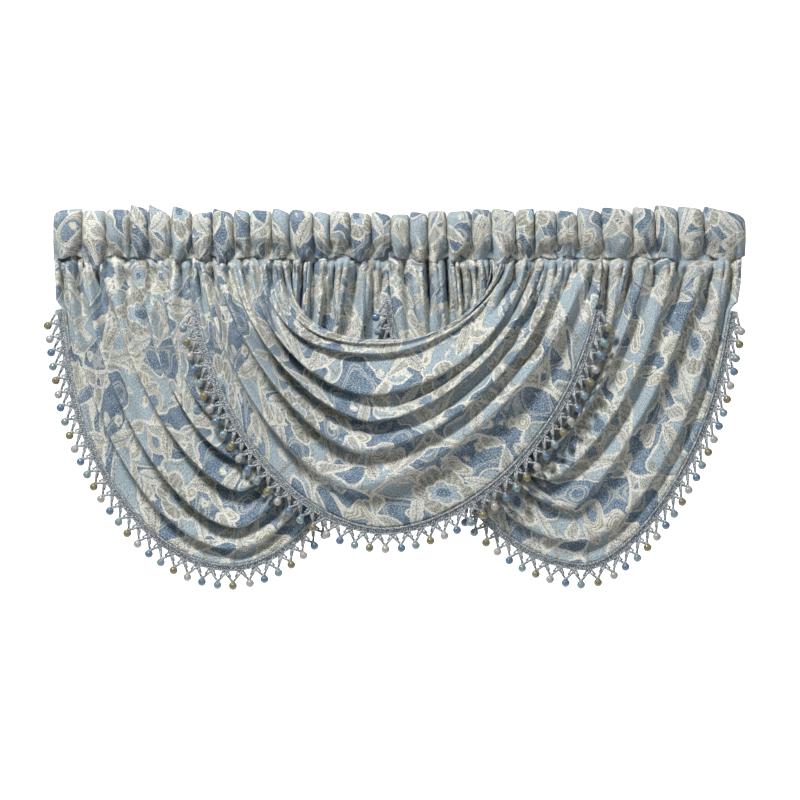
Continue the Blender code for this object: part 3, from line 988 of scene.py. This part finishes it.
def gimp_material(name, light, dark, twist):
    """Yarn laid slantwise across a band or a cord."""
    graph = Graph(name)
    cut = graph.add("ShaderNodeUVMap", {"uv_map": "cut"})
    parts = graph.nodes.new("ShaderNodeSeparateXYZ")
    graph.links.new(cut.socket, parts.inputs[0])
    along = Val(graph, parts.outputs[0])
    round_it = Val(graph, parts.outputs[1])
    strand = ((along / twist + round_it * 2.0).math("FRACT") - 0.5).math("ABSOLUTE") * 2.0
    spots = graph.noise(graph.add("ShaderNodeTexCoord", output=3), 330.0, 2.0, 0.8)
    share = graph.step(strand * 0.25 + spots * 1.7, 0.70, 1.05)
    graph.set(graph.shader.inputs["Base Color"], graph.colour_mix(share, light, dark))
    graph.set(graph.shader.inputs["Normal"], graph.bump(1.0 - strand + spots * 0.5, 0.8, 0.0012))
    graph.shader.inputs["Roughness"].default_value = 0.6
    graph.shader.inputs["Sheen Weight"].default_value = 0.2
    return graph.material


def thread_material():
    graph = Graph("crossed_thread")
    spots = graph.noise(graph.add("ShaderNodeTexCoord", output=3), 420.0, 2.0, 0.6)
    colour = graph.colour_mix(graph.step(spots, 0.35, 0.65), srgb(204, 208, 208), srgb(84, 96, 106))
    graph.set(graph.shader.inputs["Base Color"], colour)
    graph.set(graph.shader.inputs["Normal"], graph.bump(spots, 0.6, 0.0008))
    graph.shader.inputs["Roughness"].default_value = 0.65
    return graph.material


def bead_material(name, light, dark):
    """Satin yarn wound from pole to pole over a bead, with painted shade for the hole at each pole.
    """
    graph = Graph(name)
    winding = graph.nodes.new("ShaderNodeSeparateXYZ")
    graph.links.new(graph.add("ShaderNodeUVMap", {"uv_map": "UVMap"}).socket, winding.inputs[0])
    round_it = Val(graph, winding.outputs[0])
    pole = Val(graph, winding.outputs[1])
    yarn = ((round_it * 36.0).math("FRACT") - 0.5).math("ABSOLUTE") * 2.0
    uneven = graph.noise(graph.add("ShaderNodeTexCoord", output=3), 300.0, 2.0, 0.6)
    share = graph.step(yarn * 0.6 + uneven * 0.8, 0.62, 1.20)
    colour = graph.colour_mix(share, light, dark)
    # Painted shade: the hole at each pole is darkened in the colour, not modelled.
    pole_hole_shade = graph.step((pole - 0.5).math("ABSOLUTE"), 0.44, 0.47)
    colour = graph.colour_mix(pole_hole_shade * 0.4, colour, srgb(52, 50, 46))
    graph.set(graph.shader.inputs["Base Color"], colour)
    graph.set(graph.shader.inputs["Normal"], graph.bump(1.0 - yarn, 0.5, 0.0006))
    graph.shader.inputs["Roughness"].default_value = 0.22
    graph.shader.inputs["Coat Weight"].default_value = 0.8
    graph.shader.inputs["Coat Roughness"].default_value = 0.18
    return graph.material


def paper_material():
    """White backdrop paper that glows a little, as if lit on its own."""
    graph = Graph("studio_paper")
    grain = graph.noise(graph.add("ShaderNodeTexCoord", output=3), 6.0, 2.0)
    colour = graph.colour_mix(grain, srgb(247, 247, 247), srgb(255, 255, 255))
    graph.set(graph.shader.inputs["Base Color"], colour)
    graph.set(graph.shader.inputs["Emission Color"], colour)
    graph.shader.inputs["Emission Strength"].default_value = 0.92
    graph.shader.inputs["Roughness"].default_value = 0.9
    return graph.material


# Studio

PHOTO_SCALE = 0.002        # metres for each pixel of the picture, at the cloth
PHOTO_SIZE = 800
VIEW_CENTRE = Vector((0.002, -0.03, -0.386))
VIEW_DISTANCE = 4.2
FLOOR_Z = -1.55
FLOOR_HALF = 5.0
FLOOR_Y = 4.4
WALL_HEIGHT = 9.0
WORLD_STRENGTH = 0.085

Light = namedtuple("Light", "name place size power")
LIGHTS = [
    Light("key", (-1.35, -2.4, 2.5), 0.9, 184.0),
    Light("fill", (1.8, -3.4, 0.3), 1.6, 26.0),
]


def make_studio():
    """A floor that rises into a wall far behind, a faint even light and two lamps."""
    bm = bmesh.new()
    bmesh.ops.create_grid(bm, x_segments=1, y_segments=1, size=FLOOR_HALF)
    bmesh.ops.translate(bm, verts=bm.verts, vec=(0.0, FLOOR_Y, FLOOR_Z))
    back = [edge for edge in bm.edges if all(vert.co.y > FLOOR_Y for vert in edge.verts)]
    wall = bmesh.ops.extrude_edge_only(bm, edges=back)
    risen = [item for item in wall["geom"] if isinstance(item, bmesh.types.BMVert)]
    bmesh.ops.translate(bm, verts=risen, vec=(0.0, 0.0, WALL_HEIGHT))
    bmesh.ops.recalc_face_normals(bm, faces=bm.faces)
    mesh = bpy.data.meshes.new("studio_floor")
    bm.to_mesh(mesh)
    bm.free()
    floor = bpy.data.objects.new("studio_floor", mesh)
    mesh.materials.append(paper_material())
    bpy.context.scene.collection.objects.link(floor)

    world = bpy.data.worlds.new("studio_world")
    world.use_nodes = True
    background = world.node_tree.nodes["Background"]
    background.inputs["Color"].default_value = (1.0, 1.0, 1.0, 1.0)
    background.inputs["Strength"].default_value = WORLD_STRENGTH
    bpy.context.scene.world = world
    bpy.context.scene.view_settings.view_transform = "Standard"

    for light in LIGHTS:
        add_light(light)


def add_light(light):
    lamp = bpy.data.lights.new(light.name, "AREA")
    lamp.shape = "DISK"
    lamp.size = light.size
    lamp.energy = light.power
    holder = bpy.data.objects.new(light.name, lamp)
    holder.location = light.place
    holder.rotation_mode = "QUATERNION"
    holder.rotation_quaternion = (VIEW_CENTRE - Vector(light.place)).to_track_quat("-Z", "Y")
    bpy.context.scene.collection.objects.link(holder)


def make_camera():
    camera = bpy.data.cameras.new("photo_camera")
    camera.sensor_width = 36.0
    camera.lens = 36.0 * VIEW_DISTANCE / (PHOTO_SCALE * PHOTO_SIZE)
    holder = bpy.data.objects.new("photo_camera", camera)
    holder.location = VIEW_CENTRE + Vector((0.0, -VIEW_DISTANCE, 0.0))
    holder.rotation_euler = (math.pi / 2, 0.0, 0.0)
    bpy.context.scene.collection.objects.link(holder)
    bpy.context.scene.camera = holder


cloth = jacquard()
braid_gimp = gimp_material("gimp_braid", srgb(210, 214, 214), srgb(74, 86, 98), 0.0036)
cord_gimp = gimp_material("gimp_cord", srgb(220, 223, 222), srgb(112, 124, 132), 0.0050)
crossed_thread = thread_material()
bead_yarns = [
    bead_material("bead_blue", srgb(160, 194, 222), srgb(84, 120, 156)),
    bead_material("bead_aqua", srgb(204, 226, 230), srgb(122, 156, 168)),
    bead_material("bead_olive", srgb(206, 198, 146), srgb(126, 118, 78)),
    bead_material("bead_pearl", srgb(250, 248, 244), srgb(184, 182, 180)),
]
for fringe in FRINGES:
    make_fringe(fringe, braid_gimp, cord_gimp, crossed_thread, bead_yarns)
for name in ("swag_left", "swag_right"):
    make_swag(SWAGS[name], SIDE_COLUMNS, SIDE_ROWS_PER_FOLD, cloth)
make_swag(SWAGS["swag_centre"], CENTRE_COLUMNS, CENTRE_ROWS_PER_FOLD, cloth)
for pocket in POCKETS:
    make_pocket(pocket, cloth)
make_studio()
make_camera()
